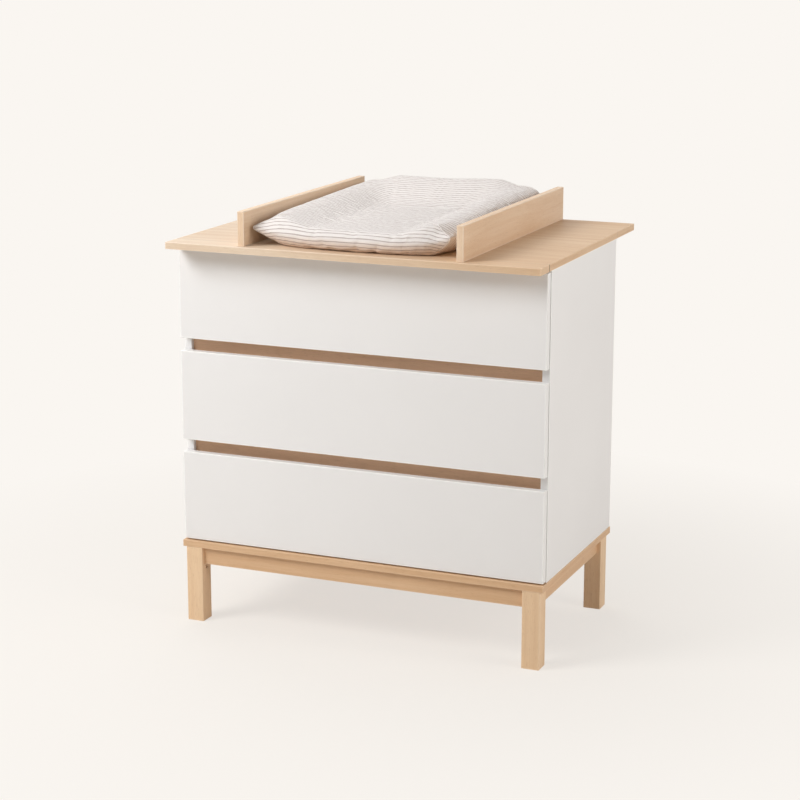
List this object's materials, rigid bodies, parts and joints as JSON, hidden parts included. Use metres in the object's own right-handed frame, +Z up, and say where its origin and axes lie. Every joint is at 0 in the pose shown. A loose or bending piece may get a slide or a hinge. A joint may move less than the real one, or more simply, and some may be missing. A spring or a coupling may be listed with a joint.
{
  "type": "changing dresser",
  "caption": "White chest of drawers on a wooden leg frame, with a wooden changing frame and a contoured changing pad on top.",
  "frame": {"origin": "on the floor, in the middle of the outline seen from above", "axes": "+X to the right seen from the front, +Y to the back (the drawers open towards -Y), +Z up"},
  "size_m": [0.904, 0.683, 1.014],
  "materials": {
    "white_lacquer": "white satin lacquer on board",
    "oak_board": "pale oak grain, matt",
    "beech": "solid pale beech, clear satin lacquer",
    "drawer_board": "white foil on board",
    "back_board": "white painted hardboard",
    "zinc_steel": "zinc plated",
    "fastener_steel": "zinc plated",
    "dowel_wood": "raw beech dowel",
    "bumper": "soft clear bumper",
    "pad_cover": "striped woven cotton cover over foam"
  },
  "bodies": {
    "carcass": {"leg_front_left": "beech", "leg_front_right": "beech", "leg_rear_left": "beech", "leg_rear_right": "beech", "apron_front": "beech", "apron_rear": "beech", "apron_left": "beech", "apron_right": "beech", "corner_plates": "zinc_steel", "hanger_bolts": "fastener_steel", "hanger_nuts": "fastener_steel", "bottom_board": "beech", "side_panel_left": "white_lacquer", "side_panel_right": "white_lacquer", "dresser_top": "oak_board", "back_panel": "back_board", "rear_rail": "white_lacquer", "grip_rail_lower": "oak_board", "grip_rail_upper": "oak_board", "lower_cabinet_slides": "zinc_steel", "middle_cabinet_slides": "zinc_steel", "upper_cabinet_slides": "zinc_steel", "drawer_bumpers": "bumper", "front_ledge": "oak_board", "rear_ledge": "oak_board", "upright_left": "oak_board", "upright_right": "oak_board", "frame_brackets": "zinc_steel", "wall_bracket": "zinc_steel", "long_screws": "fastener_steel", "short_screws": "fastener_steel", "cam_locks": "fastener_steel", "cam_pins": "fastener_steel", "wood_dowels": "dowel_wood"},
    "lower_drawer": {"lower_drawer_front": "white_lacquer", "lower_drawer_left_side": "drawer_board", "lower_drawer_right_side": "drawer_board", "lower_drawer_back": "drawer_board", "lower_drawer_base": "drawer_board", "lower_drawer_slides": "zinc_steel", "lower_drawer_fittings": "fastener_steel"},
    "lower_carriages": {"lower_slide_carriages": "zinc_steel"},
    "middle_drawer": {"middle_drawer_front": "white_lacquer", "middle_drawer_left_side": "drawer_board", "middle_drawer_right_side": "drawer_board", "middle_drawer_back": "drawer_board", "middle_drawer_base": "drawer_board", "middle_drawer_slides": "zinc_steel", "middle_drawer_fittings": "fastener_steel"},
    "middle_carriages": {"middle_slide_carriages": "zinc_steel"},
    "upper_drawer": {"upper_drawer_front": "white_lacquer", "upper_drawer_left_side": "drawer_board", "upper_drawer_right_side": "drawer_board", "upper_drawer_back": "drawer_board", "upper_drawer_base": "drawer_board", "upper_drawer_slides": "zinc_steel", "upper_drawer_fittings": "fastener_steel"},
    "upper_carriages": {"upper_slide_carriages": "zinc_steel"},
    "changing_pad": {"changing_pad": "pad_cover"}
  },
  "joints": [
    {"name": "lower_drawer_slide", "type": "slide", "parent": "carcass", "child": "lower_drawer", "axis": [0, -1, 0], "range_m": [0, 0.38]},
    {"name": "lower_carriage_slide", "type": "slide", "parent": "carcass", "child": "lower_carriages", "axis": [0, -1, 0], "range_m": [0, 0.19]},
    {"name": "middle_drawer_slide", "type": "slide", "parent": "carcass", "child": "middle_drawer", "axis": [0, -1, 0], "range_m": [0, 0.38]},
    {"name": "middle_carriage_slide", "type": "slide", "parent": "carcass", "child": "middle_carriages", "axis": [0, -1, 0], "range_m": [0, 0.19]},
    {"name": "upper_drawer_slide", "type": "slide", "parent": "carcass", "child": "upper_drawer", "axis": [0, -1, 0], "range_m": [0, 0.38]},
    {"name": "upper_carriage_slide", "type": "slide", "parent": "carcass", "child": "upper_carriages", "axis": [0, -1, 0], "range_m": [0, 0.19]},
    {"name": "pad_lift", "type": "slide", "parent": "carcass", "child": "changing_pad", "axis": [0, 0, 1], "range_m": [0, 0.12]}
  ],
  "couplings": [
    {"joint": "lower_carriage_slide", "follows": "lower_drawer_slide", "ratio": 0.5},
    {"joint": "middle_carriage_slide", "follows": "middle_drawer_slide", "ratio": 0.5},
    {"joint": "upper_carriage_slide", "follows": "upper_drawer_slide", "ratio": 0.5}
  ]
}
